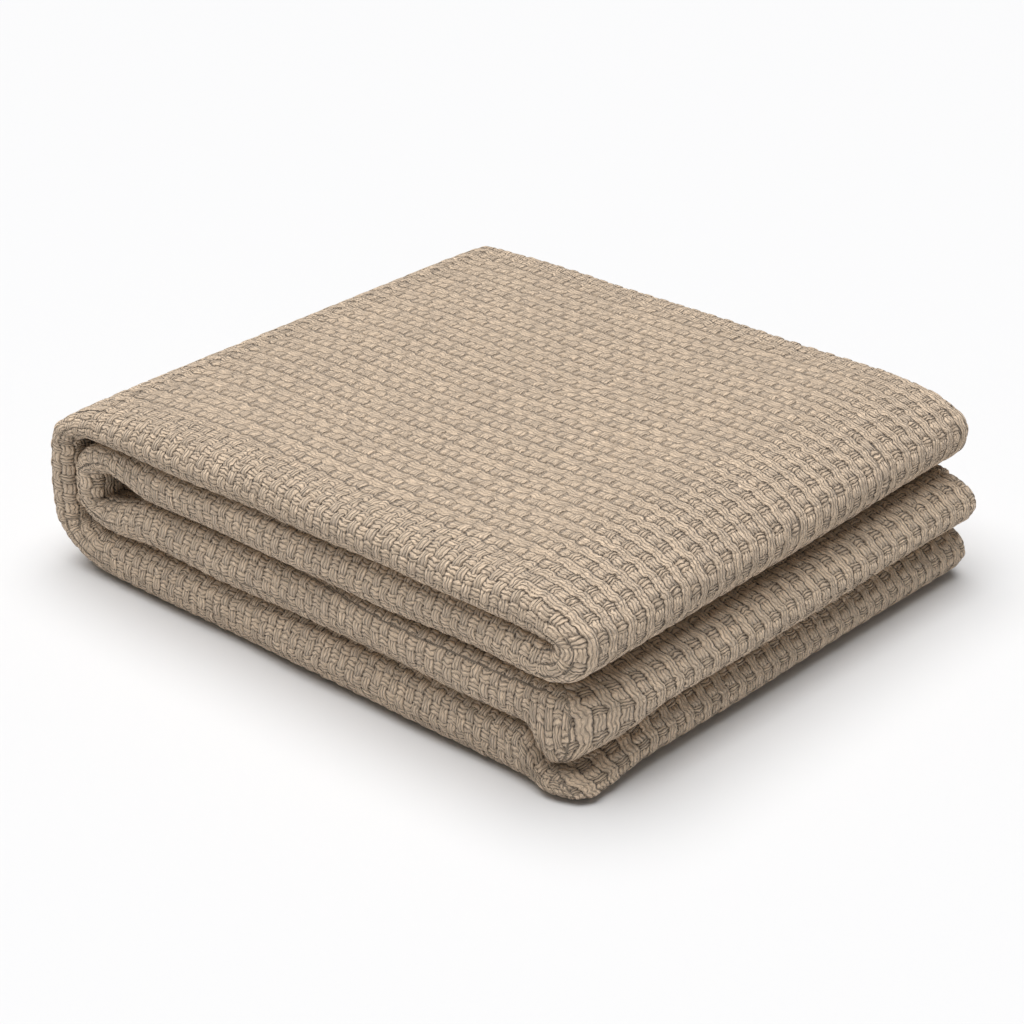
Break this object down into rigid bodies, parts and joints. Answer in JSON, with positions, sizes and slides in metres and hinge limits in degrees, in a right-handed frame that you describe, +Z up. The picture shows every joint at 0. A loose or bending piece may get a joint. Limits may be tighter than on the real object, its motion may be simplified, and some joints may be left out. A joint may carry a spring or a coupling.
{
  "type": "folded throw blanket",
  "caption": "Chunky basket-weave throw folded into a flat rectangular stack, with a closed book-like fold on one side that opens the stack flat to twice its length.",
  "frame": {"origin": "centre of the stack's underside, on the surface that it rests on", "axes": "+Z up; X runs along the folded strip, from the closed book-like fold at -X to the open ends at +X; Y runs across the strip, from the closed lengthwise fold at -Y to the long hems at +Y"},
  "size_m": [0.375, 0.325, 0.105],
  "materials": {
    "woven_cloth": "matt, chunky cotton basket weave in beige",
    "sewing_thread": "matt spun thread",
    "label_ribbon": "satin ribbon, blank"
  },
  "bodies": {
    "lower_half": {"bottom_layer": "woven_cloth", "third_layer": "woven_cloth", "bottom_end_hem": "woven_cloth", "third_end_hem": "woven_cloth", "bottom_edge_hems": "woven_cloth", "third_edge_hems": "woven_cloth", "lower_hem_thread": "sewing_thread", "care_label": "label_ribbon", "lower_outer_bend": "woven_cloth", "lower_inner_bend": "woven_cloth"},
    "fold_wall": {"outer_wall": "woven_cloth", "inner_wall": "woven_cloth"},
    "upper_half": {"second_layer": "woven_cloth", "top_layer": "woven_cloth", "right_fold": "woven_cloth", "second_edge_hems": "woven_cloth", "top_edge_hems": "woven_cloth", "upper_hem_thread": "sewing_thread", "upper_outer_bend": "woven_cloth", "upper_inner_bend": "woven_cloth"}
  },
  "joints": [
    {"name": "fold_opening", "type": "hinge", "parent": "lower_half", "child": "fold_wall", "pos_m": [-0.1575, 0, 0.03], "axis": [0, -1, 0], "range_deg": [0, 90], "deforming": ["lower_outer_bend", "lower_inner_bend"]},
    {"name": "upper_fold_opening", "type": "hinge", "parent": "fold_wall", "child": "upper_half", "pos_m": [-0.1575, 0, 0.075], "axis": [0, -1, 0], "range_deg": [0, 90], "deforming": ["upper_outer_bend", "upper_inner_bend"]}
  ],
  "couplings": [
    {"joint": "upper_fold_opening", "follows": "fold_opening", "ratio": 1}
  ]
}
